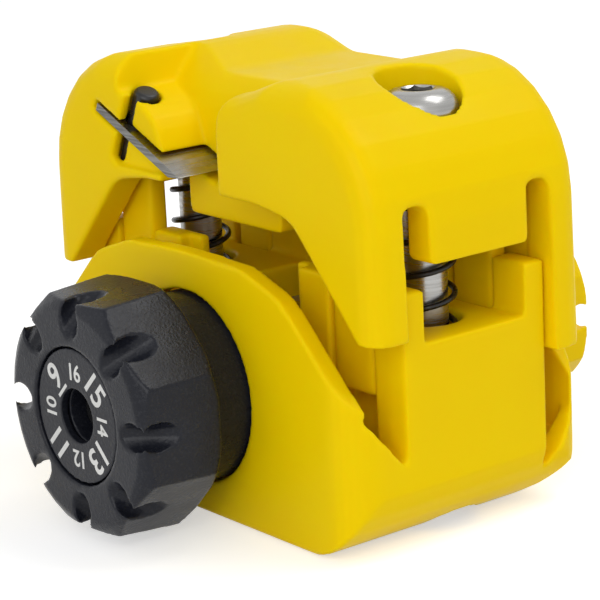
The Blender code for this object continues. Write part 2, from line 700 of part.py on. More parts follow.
def knob(name, side, finish, across):
    """Eight-sided knob with a domed rim, a notch on each flat and a countersunk middle."""
    corner = across / 2.0 / math.cos(math.pi / POSITIONS)
    length = KNOB_FRONT - KNOB_REAR
    middle = Matrix.Translation((0, 0, KNOB_REAR + length / 2.0))
    bm = bmesh.new()
    bmesh.ops.create_cone(
        bm,
        cap_ends=True,
        segments=POSITIONS,
        radius1=corner,
        radius2=corner * (1.0 - KNOB_TAPER),
        depth=length,
        matrix=middle @ Matrix.Rotation(math.pi / POSITIONS, 4, "Z"),
    )
    body = mesh_from(bm, name, finish)
    rim = corner + GAP - KNOB_FACE_RADIUS
    dome = [(0, KNOB_FRONT)]
    for step in range(5):
        angle = math.pi / 2 * step / 4
        radius = KNOB_FACE_RADIUS + rim * math.sin(angle)
        dome.append((radius, KNOB_FRONT - KNOB_DOME_DEPTH * (1 - math.cos(angle))))
    dome.append((corner + GAP, KNOB_REAR + 1.4 * MM))
    dome.append((corner - 1.6 * MM, KNOB_REAR - GAP))
    dome.append((0, KNOB_REAR - GAP))
    envelope = turned(name + "_envelope", dome, steps=42)
    envelope.matrix_world = Matrix.Rotation(math.radians(2.0), 4, "Z")
    for point in envelope.data.vertices:
        if point.co.z > KNOB_FRONT - GAP / 10:
            point.co.z += GAP
    combine(body, envelope, "INTERSECT")

    # Ball-ended notches that run from the face over the rim onto each flat
    inner = Vector((NOTCH_INNER[0], 0, KNOB_FRONT + NOTCH_INNER[1]))
    outer = Vector((NOTCH_OUTER[0], 0, KNOB_FRONT + NOTCH_OUTER[1]))
    run = (outer - inner).length
    arc = [math.pi / 2 * step / 3 for step in range(4)]
    capsule = [(NOTCH_RADIUS * math.sin(a), run + NOTCH_RADIUS * math.cos(a)) for a in arc]
    capsule += [(NOTCH_RADIUS * math.cos(a), -NOTCH_RADIUS * math.sin(a)) for a in arc]
    tools = []
    for i in range(POSITIONS):
        notch = turned(name + "_notch_" + str(i), capsule, steps=10)
        aim = (outer - inner).to_track_quat("Z", "Y").to_matrix().to_4x4()
        spin = Matrix.Rotation(2 * math.pi * i / POSITIONS, 4, "Z")
        notch.matrix_world = spin @ Matrix.Translation(inner) @ aim
        tools.append(notch)
    tools.append(turned(name + "_middle", [
        (0, KNOB_FRONT + OVER),
        (DIAL_RADIUS + GAP, KNOB_FRONT + OVER),
        (DIAL_RADIUS + GAP, KNOB_FRONT - DIAL_RECESS - DIAL_DEPTH),
        (KNOB_HOLE_RADIUS, KNOB_FRONT - DIAL_RECESS - DIAL_DEPTH),
        (KNOB_HOLE_RADIUS, KNOB_WEB[1]),
        (KNOB_SCREW_RADIUS + GAP, KNOB_WEB[1]),
        (KNOB_SCREW_RADIUS + GAP, KNOB_WEB[0]),
        (SHAFT_RADIUS + GAP, KNOB_WEB[0]),
        (SHAFT_RADIUS + GAP, KNOB_REAR - OVER),
        (0, KNOB_REAR - OVER),
    ]))
    bpy.context.view_layer.update()
    for tool in [envelope] + tools:
        tool.matrix_world = along_shaft(side) @ tool.matrix_world
    cut(body, *tools)
    smooth(body, 25)
    return body


def hub(name, radius, finish):
    """Round neck behind a knob, which turns in the wall of the lower body."""
    return tube(name, SHAFT_RADIUS + GAP, radius, HUB_INNER_FACE, KNOB_REAR - GAP, finish, 40)


def dial_plate():
    """Ring for the figures, let into the face of the front knob."""
    top = KNOB_FRONT - DIAL_RECESS
    return tube("dial_plate", KNOB_HOLE_RADIUS, DIAL_RADIUS, top - DIAL_DEPTH + GAP, top, black_plastic(), 36)


def knob_screw(name):
    """Screw at the bottom of a knob's middle, driven into the end of the shaft."""
    seat = KNOB_WEB[1] + GAP
    profile = [
        (0, seat + 2.4 * MM),
        (2.4 * MM, seat + 2.4 * MM),
        (3.1 * MM, seat + 1.7 * MM),
        (3.1 * MM, seat),
        (KNOB_SCREW_RADIUS, seat),
        (KNOB_SCREW_RADIUS, SHAFT_END - 5.0 * MM),
        (0, SHAFT_END - 5.0 * MM),
    ]
    return turned(name, profile, black_steel(), 24)


def shaft():
    """Plain cross shaft, bored at both ends for the knob screws."""
    bar = rod("shaft", SHAFT_RADIUS, -SHAFT_END, SHAFT_END, bright_steel(), 28)
    for name, sign in (("front", -1), ("rear", 1)):
        low, high = sorted((sign * (SHAFT_END - 6.0 * MM), sign * (SHAFT_END + OVER)))
        bore = rod(name + "_shaft_bore", KNOB_SCREW_RADIUS + GAP, low, high, steps=20)
        bore.matrix_world = along_shaft(1)
        cut(bar, bore)
    return bar


def support_drum():
    """Eight flats at stepped distances from the shaft, one for each figure on the dial."""
    reaches = [DRUM_FIRST_FLAT + DRUM_STEP * i for i in range(POSITIONS)]
    outline = []
    for i in range(POSITIONS):
        angle = math.pi / 2 + 2 * math.pi * i / POSITIONS
        turn = 2 * math.pi / POSITIONS
        here = reaches[i]
        following = reaches[(i + 1) % POSITIONS]
        slide = (following - here * math.cos(turn)) / math.sin(turn)
        normal = Vector((math.cos(angle), math.sin(angle)))
        tangent = Vector((-math.sin(angle), math.cos(angle)))
        point = normal * here + tangent * slide
        outline.append((point.x, point.y, 0.4 * MM))
    drum = prism("support_drum", outline, -DRUM_HALF_LENGTH, DRUM_HALF_LENGTH, "XY", black_plastic())
    bore = rod("drum_bore", SHAFT_RADIUS + GAP, -OVER * 2, OVER * 2, steps=28)
    bore.matrix_world = along_shaft(1)
    cut(drum, bore)
    return drum


def index_wheel():
    """Wheel with a shallow groove for each setting, which the detent ball drops into."""
    step = 2 * math.pi / POSITIONS
    outline = []
    for i in range(POSITIONS):
        for share in (0.0, 0.16, 0.38, 0.62, 0.84):
            angle = step * (i + share)
            radius = INDEX_RADIUS - INDEX_GROOVE if share == 0.0 else INDEX_RADIUS
            outline.append((radius * math.cos(angle), radius * math.sin(angle), 0))
    wheel = prism("index_wheel", outline, INDEX_Y[0], INDEX_Y[1], "XY", bright_steel())
    bore = rod("index_bore", SHAFT_RADIUS + GAP, -OVER * 3, OVER * 3, steps=28)
    bore.matrix_world = along_shaft(1)
    cut(wheel, bore)
    return wheel


def guide_screw(name, sign):
    """Button-head shoulder screw that the upper body slides on."""
    seat = HEAD_SEAT + GAP
    profile = [(0, seat + HEAD_HEIGHT), (2.9 * MM, seat + HEAD_HEIGHT)]
    for step in range(1, 5):
        angle = math.pi / 2 * step / 4
        radius = 2.9 * MM + (HEAD_RADIUS - 2.9 * MM) * math.sin(angle)
        profile.append((radius, seat + 0.4 * MM + (HEAD_HEIGHT - 0.4 * MM) * math.cos(angle)))
    shoulder = NUT_RECESS_DEPTH + GAP
    profile += [
        (HEAD_RADIUS, seat),
        (PIN_RADIUS, seat),
        (PIN_RADIUS, shoulder),
        (THREAD_RADIUS, shoulder),
        (THREAD_RADIUS, NUT_RECESS_DEPTH - NUT_HEIGHT - 2.0 * MM),
        (0, NUT_RECESS_DEPTH - NUT_HEIGHT - 2.0 * MM),
    ]
    screw = turned(name, profile, bright_steel(), 24)
    corner = HEX_KEY / math.sqrt(3)
    hexagon = [(corner * math.cos(math.pi * i / 3), corner * math.sin(math.pi * i / 3), 0) for i in range(6)]
    socket = prism(name + "_socket", hexagon, seat + 1.2 * MM, seat + OVER, "XY")
    for piece in (screw, socket):
        piece.location.x = sign * PIN_X
    cut(screw, socket)
    smooth(screw)
    return screw


def nut(name, sign):
    """Hexagon nut in the recess under a guide screw."""
    corner = NUT_ACROSS_FLATS / math.sqrt(3)
    hexagon = [(corner * math.cos(math.pi * i / 3), corner * math.sin(math.pi * i / 3), 0) for i in range(6)]
    top = NUT_RECESS_DEPTH - GAP
    made = prism(name, hexagon, top - NUT_HEIGHT, top, "XY", brass())
    bore = rod(name + "_bore", THREAD_RADIUS + GAP, -OVER, OVER * 2, steps=24)
    made.location.x = sign * PIN_X
    bore.location.x = sign * PIN_X
    cut(made, bore)
    return made


def detent():
    """Ball, spring and plug in the hole under the index wheel."""
    ball_top = AXIS_HEIGHT - INDEX_RADIUS - GAP
    bm = bmesh.new()
    bmesh.ops.create_uvsphere(bm, u_segments=16, v_segments=10, radius=DETENT_BALL_RADIUS)
    ball = mesh_from(bm, "detent_ball", bright_steel())
    ball.location = (0, DETENT_Y, ball_top - DETENT_BALL_RADIUS)
    plug_top = 2.6 * MM
    spring_top = ball_top - 2 * DETENT_BALL_RADIUS - GAP
    spring = coil("detent_spring", 1.3 * MM, 0.45 * MM, plug_top + GAP, spring_top, 5, black_steel(), 7)
    spring.location.y = DETENT_Y
    plug = rod("detent_plug", DETENT_HOLE_RADIUS - GAP, GAP, plug_top, brass(), 24)
    plug.location.y = DETENT_Y
    smooth(ball)
    return ball, spring, plug


def build():
    """Make every piece and hang it on the axis that it moves on."""
    clear_scene()
    frame = axis_empty("lower_frame", Matrix.Identity(4))
    slide = axis_empty("jaw_slide", Matrix.Translation((0, 0, SHELF_HEIGHT)))
    front = axis_empty("front_knob_axis", along_shaft(-1))
    rear = axis_empty("rear_knob_axis", along_shaft(1))

    body = lower_body()
    keep_place(frame, body, *detent())
    keep_place(slide, upper_body(), pressure_jaw(), *blade())
    for side_name, sign in (("left", -1), ("right", 1)):
        screw = guide_screw("guide_screw_" + side_name, sign)
        spring = coil(
            "spring_" + side_name,
            SPRING_RADIUS,
            SPRING_WIRE,
            SPRING_BOTTOM + GAP,
            SPRING_TOP - GAP,
            SPRING_TURNS,
            black_steel(),
        )
        spring.location.x = sign * PIN_X
        keep_place(frame, screw, spring, nut("nut_" + side_name, sign))

    front_knob = knob("front_knob", -1, black_plastic(), KNOB_ACROSS_FLATS)
    front_hub = hub("front_hub", HUB_RADIUS, black_plastic())
    carry(front, front_knob, front_hub, dial_plate(), knob_screw("front_knob_screw"))
    rear_knob = knob("rear_knob", 1, yellow_plastic(), REAR_ACROSS_FLATS)
    rear_hub = hub("rear_hub", REAR_HUB_RADIUS, yellow_plastic())
    carry(rear, rear_knob, rear_hub, knob_screw("rear_knob_screw"))
    carry(rear, shaft(), support_drum(), index_wheel())
    bpy.context.view_layer.update()


build()
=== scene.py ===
"""Wire stripper: soft moulded shells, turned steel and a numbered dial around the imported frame."""

import math

import bmesh
import bpy
from mathutils import Matrix, Vector


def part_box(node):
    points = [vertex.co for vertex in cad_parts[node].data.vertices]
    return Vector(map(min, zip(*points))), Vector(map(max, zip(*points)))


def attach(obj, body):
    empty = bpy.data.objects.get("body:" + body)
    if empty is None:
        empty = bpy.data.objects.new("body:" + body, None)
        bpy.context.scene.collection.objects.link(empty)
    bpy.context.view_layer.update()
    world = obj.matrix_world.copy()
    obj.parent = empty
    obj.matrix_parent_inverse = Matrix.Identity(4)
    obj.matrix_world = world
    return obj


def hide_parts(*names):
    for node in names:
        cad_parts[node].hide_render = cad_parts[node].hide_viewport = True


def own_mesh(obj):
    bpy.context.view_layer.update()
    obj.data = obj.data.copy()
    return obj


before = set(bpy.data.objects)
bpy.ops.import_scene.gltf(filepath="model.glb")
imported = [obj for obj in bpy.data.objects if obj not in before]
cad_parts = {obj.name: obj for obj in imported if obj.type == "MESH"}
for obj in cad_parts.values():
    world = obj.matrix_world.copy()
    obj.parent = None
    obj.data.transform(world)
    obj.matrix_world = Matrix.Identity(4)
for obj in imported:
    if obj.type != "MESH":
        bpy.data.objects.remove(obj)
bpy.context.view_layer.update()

MM = 0.001
PANEL_TAB = "Wire stripper"

# Shares of a figure's height or of its type size
DIGIT_SHARE = 0.72
STROKE_SHARE = 0.022
DIGIT_SPACING = 0.92
UNDERLINE_SHARE = 0.06

# A spring's closed ends: turns that lie flat, and their rise in wire thicknesses
CLOSED_TURNS = 0.8
SEAT_RISE = 0.6
POINTS_PER_TURN = 36

WELD = 0.002 * MM
FLOOR_HALF_SIZE = 4.0
FLOOR_CLEARANCE = 0.02 * MM
LAMP_AIM = (0.0, 0.0, 0.03)
SENSOR_WIDTH = 36.0

bl_info = {
    "name": "Wire stripper",
    "version": (1, 0, 0),
    "blender": (4, 5, 0),
    "location": "3D View > Sidebar > Wire stripper",
    "description": "Builds the looks of a cable stripper around its packed frame",
    "category": "Object",
}


def colour(name, description, default):
    """A colour property in linear light."""
    return bpy.props.FloatVectorProperty(
        name=name,
        description=description,
        default=default,
        size=3,
        min=0.0,
        max=1.0,
        subtype="COLOR",
    )


def length(name, description, default):
    """A length property in metres."""
    return bpy.props.FloatProperty(
        name=name,
        description=description,
        default=default,
        min=0.0,
        precision=5,
        subtype="DISTANCE",
        unit="LENGTH",
    )


class StripperFinishes(bpy.types.PropertyGroup):
    """Colours of the finishes."""

    yellow: colour("Yellow", "Moulded yellow plastic", (0.93, 0.655, 0.0))
    yellow_deep: colour("Deep yellow", "Yellow where the moulding is a little darker", (0.92, 0.63, 0.0))
    yellow_rubbed: colour("Rubbed yellow", "Yellow plastic rubbed pale along its edges", (0.95, 0.71, 0.01))
    knob_black: colour("Knob black", "Glass-filled black plastic of the knob", (0.011, 0.0122, 0.018))
    # Also the colour of the knob's painted glint specks, besides its rubbed edges
    knob_rubbed: colour("Rubbed black", "Black plastic rubbed grey along its edges", (0.045, 0.047, 0.055))
    figure_white: colour("Figure white", "Paint of the figures on the dial", (0.78, 0.78, 0.76))
    steel: colour("Steel", "Polished stainless steel", (0.4, 0.395, 0.38))
    steel_dark: colour("Dark steel", "Steel where it is sheared or ground", (0.24, 0.235, 0.22))
    blackened: colour("Blackened steel", "Black oxide on springs, screws and pins", (0.012, 0.012, 0.013))
    brass: colour("Brass", "Plated brass of nuts and index wheel", (0.62, 0.43, 0.16))


class StripperSizes(bpy.types.PropertyGroup):
    """Sizes of the moulding and of the small parts."""

    shell_grid: length("Shell grid", "Grid on which the moulded shells are rounded", 0.36 * MM)
    knob_grid: length("Knob grid", "Grid on which the knobs are rounded", 0.26 * MM)
    fine_grid: length("Fine grid", "Grid on which small parts are rounded", 0.16 * MM)
    figure_large: length("Large figures", "Height of the odd figures", 3.6 * MM)
    figure_small: length("Small figures", "Height of the even figures", 2.3 * MM)
    figure_ring: length("Figure ring", "Radius of the ring that the figures stand on", 4.8 * MM)
    figure_lift: length("Figure lift", "Height of the paint over the dial plate", 0.06 * MM)
    spring_radius: length("Spring radius", "Radius of a spring at the middle of its wire", 3.9 * MM)
    spring_wire: length("Spring wire", "Thickness of the spring wire", 0.8 * MM)
    screw_shank: length("Screw shank", "Radius of a guide screw's shank", 3.0 * MM)
    screw_head: length("Screw head", "Radius of a guide screw's head", 5.2 * MM)
    screw_head_height: length("Screw head height", "Height of a guide screw's head", 3.2 * MM)
    screw_key: length("Hexagon", "Width across the flats of the hexagon socket", 4.0 * MM)


class StripperStage(bpy.types.PropertyGroup):
    """Camera and lamps."""

    camera: bpy.props.FloatVectorProperty(
        name="Camera",
        description="Place of the camera",
        default=(0.2626, -0.2053, 0.1146),
        subtype="XYZ",
    )
    tilt: bpy.props.FloatVectorProperty(
        name="Camera tilt",
        description="Rotation of the camera",
        default=tuple(math.radians(a) for a in (74.983, 2.705, 51.475)),
        subtype="EULER",
    )
    lens: bpy.props.FloatProperty(name="Lens", description="Focal length in millimetres", default=150.0)
    floor: colour("Floor", "Pale floor", (0.86, 0.86, 0.86))
    glow: bpy.props.FloatProperty(
        name="Floor glow",
        description="White that the camera, gloss and glass see in the floor besides its light",
        default=0.5,
    )
    fill: bpy.props.FloatProperty(
        name="Fill",
        description="Strength of the light from all round",
        default=0.42,
    )


def settings():
    """The three groups of settings on the scene."""
    scene = bpy.context.scene
    return scene.stripper_finishes, scene.stripper_sizes, scene.stripper_stage


# Shader effects that several finishes share

def group(name, inputs, outputs):
    """A new shader node group with float inputs and named outputs."""
    tree = bpy.data.node_groups.new(name, "ShaderNodeTree")
    for label, default in inputs:
        socket = tree.interface.new_socket(label, in_out="INPUT", socket_type="NodeSocketFloat")
        socket.default_value = default
    for label in outputs:
        tree.interface.new_socket(label, in_out="OUTPUT", socket_type="NodeSocketFloat")
    return tree, tree.nodes.new("NodeGroupInput"), tree.nodes.new("NodeGroupOutput")


def link(tree, start, end):
    """Join two sockets."""
    tree.links.new(start, end)


def math_node(tree, operation, first, second):
    """A Math node whose two inputs are sockets or numbers."""
    node = tree.nodes.new("ShaderNodeMath")
    node.operation = operation
    for index, value in enumerate((first, second)):
        if isinstance(value, (int, float)):
            node.inputs[index].default_value = value
        else:
            link(tree, value, node.inputs[index])
    return node.outputs[0]


def spread(tree, value, low, high, to_low=0.0, to_high=1.0):
    """A Map Range node with a smooth step."""
    node = tree.nodes.new("ShaderNodeMapRange")
    node.interpolation_type = "SMOOTHSTEP"
    link(tree, value, node.inputs["Value"])
    for label, number in (("From Min", low), ("From Max", high), ("To Min", to_low), ("To Max", to_high)):
        if isinstance(number, (int, float)):
            node.inputs[label].default_value = number
        else:
            link(tree, number, node.inputs[label])
    return node.outputs["Result"]


def noise_node(tree, scale, detail, roughness=0.5, stretch=(1.0, 1.0, 1.0)):
    """A noise in object coordinates, with its own stretch along the axes."""
    place = tree.nodes.new("ShaderNodeTexCoord")
    mapping = tree.nodes.new("ShaderNodeMapping")
    mapping.inputs["Scale"].default_value = stretch
    link(tree, place.outputs["Object"], mapping.inputs["Vector"])
    node = tree.nodes.new("ShaderNodeTexNoise")
    node.inputs["Detail"].default_value = detail
    node.inputs["Roughness"].default_value = roughness
    link(tree, mapping.outputs["Vector"], node.inputs["Vector"])
    if isinstance(scale, (int, float)):
        node.inputs["Scale"].default_value = scale
    else:
        link(tree, scale, node.inputs["Scale"])
    return node.outputs["Fac"]


def edge_wear_group():
    """Mask along convex edges, broken up where fingers rub them."""
    inputs = [("Start", 0.52), ("End", 0.6), ("Breakup", 900.0)]
    tree, given, made = group("edge wear", inputs, ["Mask"])
    geometry = tree.nodes.new("ShaderNodeNewGeometry")
    edge = spread(tree, geometry.outputs["Pointiness"], given.outputs["Start"], given.outputs["End"])
    broken = spread(tree, noise_node(tree, given.outputs["Breakup"], 4.0, 0.6), 0.35, 0.7, 0.25, 1.0)
    link(tree, math_node(tree, "MULTIPLY", edge, broken), made.inputs["Mask"])
    return tree


def moulding_group():
    """Tone, height, sheen and glint of a moulding: a slow drift, the fine skin of the mould and smears; the
    glint is pale specks of the skin, a painted glint.
    """
    inputs = [("Drift", 45.0), ("Skin", 3800.0)]
    tree, given, made = group("moulding", inputs, ["Tone", "Height", "Sheen", "Glint"])
    drift = noise_node(tree, given.outputs["Drift"], 3.0)
    skin = noise_node(tree, given.outputs["Skin"], 2.0, 0.6)
    link(tree, spread(tree, drift, 0.3, 0.7), made.inputs["Tone"])
    link(tree, skin, made.inputs["Height"])
    # Glint: pale specks of the fine skin, a painted glint of its rough surface
    link(tree, spread(tree, skin, 0.5, 0.7), made.inputs["Glint"])
    smear = noise_node(tree, 160.0, 5.0, 0.65, (1.0, 1.0, 2.2))
    link(tree, spread(tree, smear, 0.25, 0.75), made.inputs["Sheen"])
    return tree


def machined_group():
    """Fine parallel lines, as turning or grinding leaves them."""
    tree, _, made = group("machined lines", [], ["Tone", "Height"])
    lines = noise_node(tree, 2600.0, 3.0, 0.7, (0.02, 0.02, 1.0))
    link(tree, spread(tree, lines, 0.35, 0.65), made.inputs["Tone"])
    link(tree, lines, made.inputs["Height"])
    return tree


def shared(name, maker):
    """A shared node group, made the first time that it is asked for."""
    return bpy.data.node_groups.get(name) or maker()


def place_group(tree, group_tree, **values):
    """Put a shared group into a material with its own values."""
    node = tree.nodes.new("ShaderNodeGroup")
    node.node_tree = group_tree
    for label, value in values.items():
        node.inputs[label].default_value = value
    return node


# Finishes

def start_material(name):
    """A material with one Principled BSDF."""
    made = bpy.data.materials.new(name)
    made.use_nodes = True
    tree = made.node_tree
    return made, tree, tree.nodes["Principled BSDF"]


def mix_colours(tree, factor, first, second):
    """Mix two colours, given as values or sockets, by a mask."""
    node = tree.nodes.new("ShaderNodeMix")
    node.data_type = "RGBA"
    link(tree, factor, node.inputs["Factor"])
    for label, value in (("A", first), ("B", second)):
        socket = [s for s in node.inputs if s.name == label and s.type == "RGBA"][0]
        if hasattr(value, "is_output"):
            link(tree, value, socket)
        else:
            socket.default_value = (*value, 1.0)
    return [s for s in node.outputs if s.type == "RGBA"][0]


def bump(tree, height, shader, strength, distance):
    """Fine relief of a surface."""
    node = tree.nodes.new("ShaderNodeBump")
    node.inputs["Strength"].default_value = strength
    node.inputs["Distance"].default_value = distance
    link(tree, height, node.inputs["Height"])
    link(tree, node.outputs["Normal"], shader.inputs["Normal"])


def moulded_finish(
    name, main, deep, rubbed, roughness, skin, depth, wear, shine=0.5, glow=0.0, relief=0.25, glint=0.0
):
    """A moulded plastic with a drift of tone, a fine skin, rubbed edges and, if asked for, pale specks of
    painted glint.
    """
    made, tree, shader = start_material(name)
    surface = place_group(tree, shared("moulding", moulding_group), Skin=skin)
    edge = place_group(tree, shared("edge wear", edge_wear_group), Start=wear[0], End=wear[1])
    body = mix_colours(tree, surface.outputs["Tone"], deep, main)
    # Painted glint: pale specks of the rubbed colour in the base colour, standing in for the glinting skin
    if glint:
        glints = math_node(tree, "MULTIPLY", surface.outputs["Glint"], glint)
        body = mix_colours(tree, glints, body, rubbed)
    worn = mix_colours(tree, edge.outputs["Mask"], body, rubbed)
    link(tree, worn, shader.inputs["Base Color"])
    gloss = spread(tree, surface.outputs["Sheen"], 0.0, 1.0, roughness[0], roughness[1])
    link(tree, gloss, shader.inputs["Roughness"])
    bump(tree, surface.outputs["Height"], shader, relief, depth)
    shader.inputs["Specular IOR Level"].default_value = shine
    shader.inputs["Subsurface Weight"].default_value = glow
    shader.inputs["Subsurface Radius"].default_value = (1.0, 0.6, 0.05)
    shader.inputs["Subsurface Scale"].default_value = 1.5 * MM
    return made


def shade(tone, share):
    """A darker share of a colour."""
    return tuple(c * share for c in tone)


def machined_finish(name, bright, dark, roughness, wear=(0.54, 0.62)):
    """A metal with fine lines and paler edges."""
    made, tree, shader = start_material(name)
    lines = place_group(tree, shared("machined lines", machined_group))
    edge = place_group(tree, shared("edge wear", edge_wear_group), Start=wear[0], End=wear[1])
    body = mix_colours(tree, lines.outputs["Tone"], bright, dark)
    pale = tuple(min(1.0, c * 1.15 + 0.02) for c in bright)
    link(tree, mix_colours(tree, edge.outputs["Mask"], body, pale), shader.inputs["Base Color"])
    gloss = spread(tree, lines.outputs["Tone"], 0.0, 1.0, roughness[0], roughness[1])
    link(tree, gloss, shader.inputs["Roughness"])
    shader.inputs["Metallic"].default_value = 1.0
    bump(tree, lines.outputs["Height"], shader, 0.08, 0.02 * MM)
    return made


def finish(name):
    """One of the finishes by name, made the first time that it is asked for."""
    known = bpy.data.materials.get(name)
    if known:
        return known
    tones = settings()[0]
    steel = tuple(tones.steel)
    steel_dark = tuple(tones.steel_dark)
    brass = tuple(tones.brass)
    if name == "moulded yellow":
        return moulded_finish(
            name,
            main=tuple(tones.yellow),
            deep=tuple(tones.yellow_deep),
            rubbed=tuple(tones.yellow_rubbed),
            roughness=(0.34, 0.44),
            skin=3600.0,
            depth=0.02 * MM,
            wear=(0.53, 0.62),
            shine=0.05,
            glow=0.3,
        )
    if name == "knob black":
        return moulded_finish(
            name,
            main=tuple(tones.knob_black),
            deep=shade(tones.knob_black, 0.8),
            rubbed=tuple(tones.knob_rubbed),
            roughness=(0.24, 0.34),
            skin=2600.0,
            depth=0.1 * MM,
            wear=(0.55, 0.68),
            shine=0.2,
            relief=0.5,
            # Share of painted glint specks on the knob
            glint=0.25,
        )
    if name == "figure paint":
        return moulded_finish(
            name,
            main=tuple(tones.figure_white),
            deep=shade(tones.figure_white, 0.85),
            rubbed=tuple(tones.figure_white),
            roughness=(0.45, 0.6),
            skin=5200.0,
            depth=0.01 * MM,
            wear=(0.7, 0.9),
        )
    if name == "blackened steel":
        return moulded_finish(
            name,
            main=tuple(tones.blackened),
            deep=shade(tones.blackened, 0.7),
            rubbed=tuple(tones.knob_rubbed),
            roughness=(0.22, 0.36),
            skin=2600.0,
            depth=0.01 * MM,
            wear=(0.55, 0.7),
            shine=0.4,
        )
    if name == "turned steel":
        return machined_finish(name, bright=steel, dark=shade(steel, 0.8), roughness=(0.24, 0.34))
    if name == "ground steel":
        return machined_finish(name, bright=shade(steel, 0.75), dark=steel_dark, roughness=(0.2, 0.32))
    if name == "sheared steel":
        return machined_finish(name, bright=steel_dark, dark=shade(steel_dark, 0.5), roughness=(0.42, 0.6))
    if name == "plated brass":
        return machined_finish(name, bright=brass, dark=shade(brass, 0.7), roughness=(0.2, 0.35))
    raise ValueError(f"there is no finish named {name}")


# Shapes

def add_piece(name, mesh, body, finish_name, slot, *replaced):
    """Put a mesh into the scene as a piece that rides on a body and stands for CAD nodes."""
    piece = bpy.data.objects.new(name, mesh)
    bpy.context.scene.collection.objects.link(piece)
    mesh.materials.clear()
    mesh.materials.append(finish(finish_name))
    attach(piece, body)
    if replaced:
        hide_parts(*replaced)
    return piece


def node_mesh(node):
    """A welded copy of a CAD node's mesh."""
    edit = bmesh.new()
    edit.from_mesh(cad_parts[node].data)
    bmesh.ops.remove_doubles(edit, verts=edit.verts, dist=WELD)
    mesh = bpy.data.meshes.new(node + "_shape")
    edit.to_mesh(mesh)
    edit.free()
    return mesh


def baked(obj):
    """The mesh of an object with its modifiers, and the object removed."""
    depsgraph = bpy.context.evaluated_depsgraph_get()
    mesh = bpy.data.meshes.new_from_object(obj.evaluated_get(depsgraph))
    old = obj.data
    bpy.data.objects.remove(obj)
    if old.users == 0 and isinstance(old, bpy.types.Mesh):
        bpy.data.meshes.remove(old)
    return mesh


def rounded(node, grid, passes, kept):
    """A node's shape with every edge rounded over, as a mould leaves it."""
    work = bpy.data.objects.new(node + "_work", node_mesh(node))
    bpy.context.scene.collection.objects.link(work)
    remesh = work.modifiers.new("grid", "REMESH")
    remesh.mode = "VOXEL"
    remesh.voxel_size = grid
    remesh.use_smooth_shade = True
    relax = work.modifiers.new("relax", "SMOOTH")
    relax.factor = 0.5
    relax.iterations = passes
    thin = work.modifiers.new("thin", "DECIMATE")
    thin.ratio = kept
    mesh = baked(work)
    mesh.shade_smooth()
    return mesh


def lathe(profile, steps, sharp=35.0):
    """A mesh turned about Z from points (radius, height)."""
    edit = bmesh.new()
    verts = [edit.verts.new((r, 0.0, z)) for r, z in profile]
    edges = [edit.edges.new(pair) for pair in zip(verts, verts[1:])]
    bmesh.ops.spin(
        edit,
        geom=verts + edges,
        cent=(0, 0, 0),
        axis=(0, 0, 1),
        angle=2 * math.pi,
        steps=steps,
        use_merge=True,
    )
    bmesh.ops.remove_doubles(edit, verts=edit.verts, dist=WELD / 2)
    bmesh.ops.recalc_face_normals(edit, faces=edit.faces)
    mesh = bpy.data.meshes.new("turned")
    edit.to_mesh(mesh)
    edit.free()
    mesh.shade_smooth()
    mesh.set_sharp_from_angle(angle=math.radians(sharp))
    return mesh


def coil_mesh(radius, wire, bottom, top, turns, closed=CLOSED_TURNS):
    """A compression spring with closed ends, as a tube along a helix."""
    curve = bpy.data.curves.new("coil", "CURVE")
    curve.dimensions = "3D"
    curve.bevel_depth = wire / 2
    curve.bevel_resolution = 4
    curve.use_fill_caps = True
    spline = curve.splines.new("POLY")
    count = int(turns * POINTS_PER_TURN)
    spline.points.add(count)
    low = bottom + wire / 2
    high = top - wire / 2
    seat = wire * SEAT_RISE
    for index in range(count + 1):
        turn = turns * index / count
        if turn < closed:
            height = low + seat * turn / closed
        elif turn > turns - closed:
            height = high - seat * (turns - turn) / closed
        else:
            share = (turn - closed) / (turns - 2 * closed)
            height = low + seat + (high - low - 2 * seat) * share
        angle = 2 * math.pi * turn
        spline.points[index].co = (radius * math.cos(angle), radius * math.sin(angle), height, 1.0)
    work = bpy.data.objects.new("coil_work", curve)
    bpy.context.scene.collection.objects.link(work)
    mesh = baked(work)
    mesh.shade_smooth()
    return mesh


def figure_mesh(text, height, lift, underlined):
    """A figure as a thin raised layer of paint, lying in XY, centred on its foot."""
    curve = bpy.data.curves.new("figure", "FONT")
    curve.body = text
    curve.align_x = "CENTER"
    curve.size = height / DIGIT_SHARE
    curve.offset = height * STROKE_SHARE
    curve.extrude = lift / 2
    curve.resolution_u = 6
    curve.space_character = DIGIT_SPACING
    curve.underline_height = UNDERLINE_SHARE
    curve.underline_position = -UNDERLINE_SHARE
    for letter in curve.body_format:
        letter.use_underline = underlined
    work = bpy.data.objects.new("figure_work", curve)
    bpy.context.scene.collection.objects.link(work)
    return baked(work)


# Operators

class PieceOperator:
    """What the operators that make pieces have in common."""

    bl_options = {"REGISTER", "UNDO"}


class STRIPPER_OT_shells(PieceOperator, bpy.types.Operator):
    """Make the yellow bodies and the pressure jaw with moulded edges"""

    bl_idname = "stripper.shells"
    bl_label = "Moulded shells"

    def execute(self, context):
        """Round each yellow shell."""
        grid = settings()[1].shell_grid
        for node, body in (("lower_body", "base"), ("upper_body", "head"), ("pressure_jaw", "head")):
            mesh = rounded(node, grid, passes=6, kept=0.16)
            add_piece(node + "_shell", mesh, body, "moulded yellow", "yellow_plastic", node)
        return {"FINISHED"}


class STRIPPER_OT_knobs(PieceOperator, bpy.types.Operator):
    """Make the two knobs with their hubs"""

    bl_idname = "stripper.knobs"
    bl_label = "Knobs"

    def execute(self, context):
        """Round each knob and hub."""
        grid = settings()[1].knob_grid
        for side, finish_name, slot in (
            ("front", "knob black", "black_plastic"),
            ("rear", "moulded yellow", "yellow_plastic"),
        ):
            for piece in ("knob", "hub"):
                node = f"{side}_{piece}"
                mesh = rounded(node, grid, passes=2, kept=0.3)
                add_piece(node + "_moulding", mesh, "dial", finish_name, slot, node)
        return {"FINISHED"}


